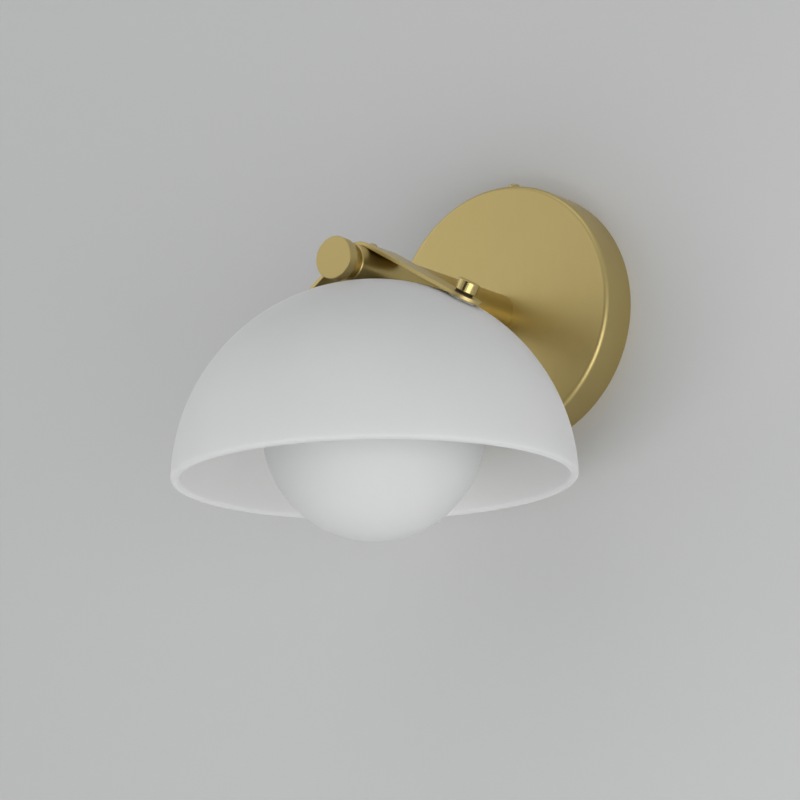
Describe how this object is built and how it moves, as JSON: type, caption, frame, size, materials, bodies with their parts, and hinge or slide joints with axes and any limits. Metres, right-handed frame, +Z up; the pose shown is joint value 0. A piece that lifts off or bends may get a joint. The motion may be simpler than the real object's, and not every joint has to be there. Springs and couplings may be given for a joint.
{
  "type": "wall sconce",
  "caption": "Wall sconce with a round canopy, a straight tubular arm and a strap that clamps a down-turned opal bowl shade over an inner globe.",
  "frame": {"origin": "centre of the canopy in the plane of the wall, which is also the centre of the bracket's slot pattern", "axes": "+Y into the wall, -Y along the arm into the room, +Z up, +X to the right seen from the room"},
  "size_m": [0.1836, 0.217, 0.1917],
  "materials": {
    "satin_brass": "satin brushed",
    "raw_brass": "machined",
    "opal_glass": "satin etched opal",
    "opal_glass_inner": "satin etched opal",
    "zinc_steel": "zinc plated",
    "white_metal": "satin powder coat",
    "green_screw": "green dyed zinc",
    "black_plastic": "moulded",
    "white_rubber": "soft matte",
    "ceramic": "unglazed ceramic",
    "frosted_lamp": "frosted",
    "black_sleeve": "smooth insulation",
    "white_sleeve": "smooth insulation"
  },
  "bodies": {
    "fixture": {"wall_bracket": "zinc_steel", "earth_screw": "green_screw", "terminal_block": "black_plastic", "terminal_screws": "zinc_steel", "canopy_cover": "satin_brass", "canopy_screws": "satin_brass", "arm_tube": "satin_brass", "arm_root_plug": "raw_brass", "arm_nipple": "zinc_steel", "arm_lock_washer": "zinc_steel", "arm_hex_nut": "zinc_steel", "arm_end_cap": "satin_brass", "stem_block": "raw_brass", "stem_saddle": "satin_brass", "lamp_stem": "zinc_steel", "shade_strap": "satin_brass", "strap_screw": "satin_brass", "glass_shade": "opal_glass", "crown_gasket": "white_rubber", "under_washer": "white_rubber", "pad_washers": "white_rubber", "inner_washers": "white_rubber", "shade_studs": "satin_brass", "nut_collars": "black_plastic", "globe_fitter": "white_metal", "fitter_nut": "zinc_steel", "globe_gasket": "white_rubber", "lamp_holder": "ceramic", "lamp": "frosted_lamp", "line_lead": "black_sleeve", "neutral_lead": "white_sleeve"},
    "left_nut": {"thumb_nut_left": "satin_brass"},
    "right_nut": {"thumb_nut_right": "satin_brass"},
    "globe": {"globe": "opal_glass_inner"}
  },
  "joints": [
    {"name": "left_nut_turn", "type": "hinge", "parent": "fixture", "child": "left_nut", "pos_m": [-0.0529, -0.12, -0.01789], "axis": [-0.5454, 0, 0.8382], "continuous": true},
    {"name": "right_nut_turn", "type": "hinge", "parent": "fixture", "child": "right_nut", "pos_m": [0.0529, -0.12, -0.01789], "axis": [0.5454, 0, 0.8382], "continuous": true},
    {"name": "globe_turn", "type": "hinge", "parent": "fixture", "child": "globe", "pos_m": [0, -0.12, -0.0175], "axis": [0, 0, -1], "range_deg": [0, 360]}
  ]
}
